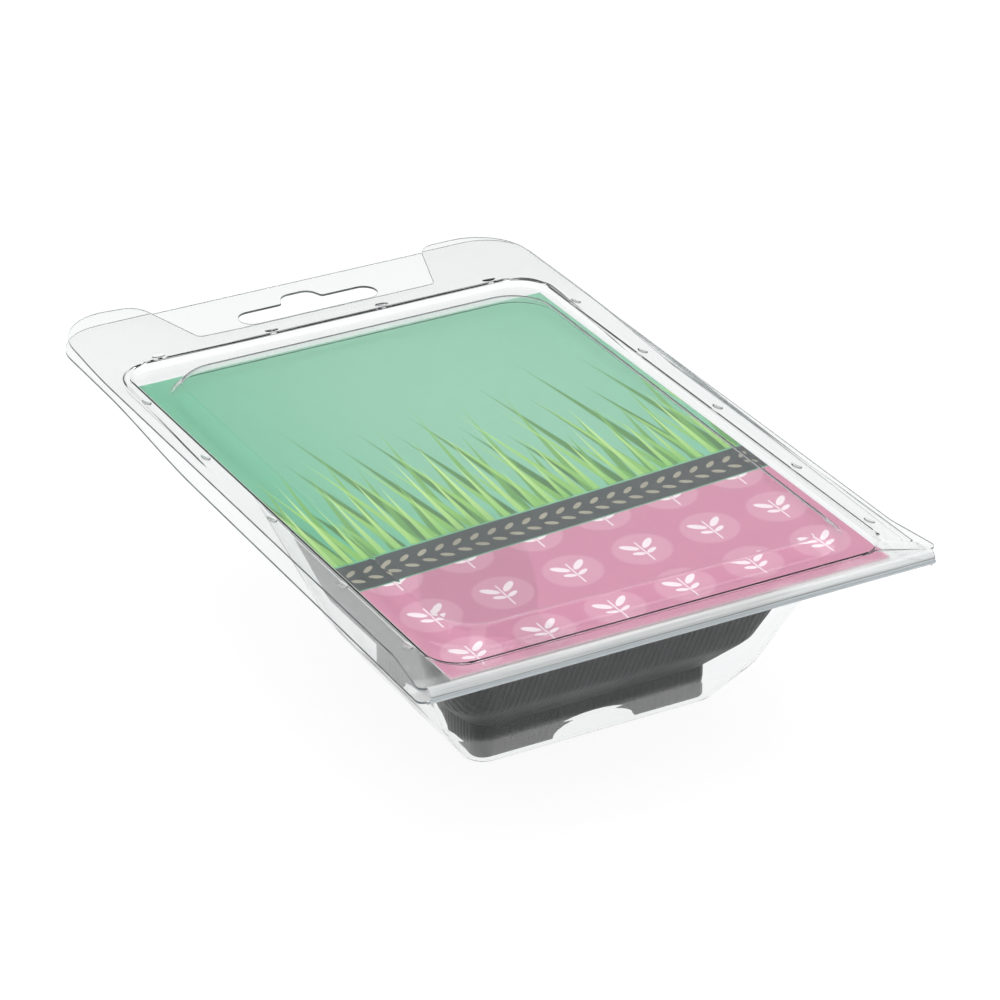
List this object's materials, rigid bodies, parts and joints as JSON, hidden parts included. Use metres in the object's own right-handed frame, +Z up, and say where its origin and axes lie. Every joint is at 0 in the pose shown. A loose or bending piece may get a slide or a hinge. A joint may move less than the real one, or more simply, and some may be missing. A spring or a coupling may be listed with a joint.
{
  "type": "clamshell grass growing kit",
  "caption": "Clear hinged clamshell hang pack with a printed card and a black growing tray in its pocket, lying on the pocket.",
  "frame": {"origin": "under the middle of the pack, on the plane that the pocket's underside rests on", "axes": "+Y from the hinge towards the hang tab, +Z up through the window of the lid, +X along the hinge"},
  "size_m": [0.12, 0.1836, 0.0477],
  "materials": {
    "clear_sheet": "clear formed sheet, glossy",
    "card_print": "satin coated print, green over pink with a dark band",
    "black_tray": "black formed plastic, satin",
    "bag_film": "clear film bag full of golden brown flakes",
    "seed_foil": "plain white paper sachet, satin"
  },
  "bodies": {
    "pack": {"back_shell": "clear_sheet", "printed_card": "card_print", "growing_tray": "black_tray", "growing_medium_bag": "bag_film", "seed_sachet": "seed_foil"},
    "lid": {"front_shell": "clear_sheet"}
  },
  "joints": [
    {"name": "lid_hinge", "type": "hinge", "parent": "pack", "child": "lid", "pos_m": [0, -0.09175, 0.04325], "axis": [1, 0, 0], "range_deg": [0, 180]}
  ]
}
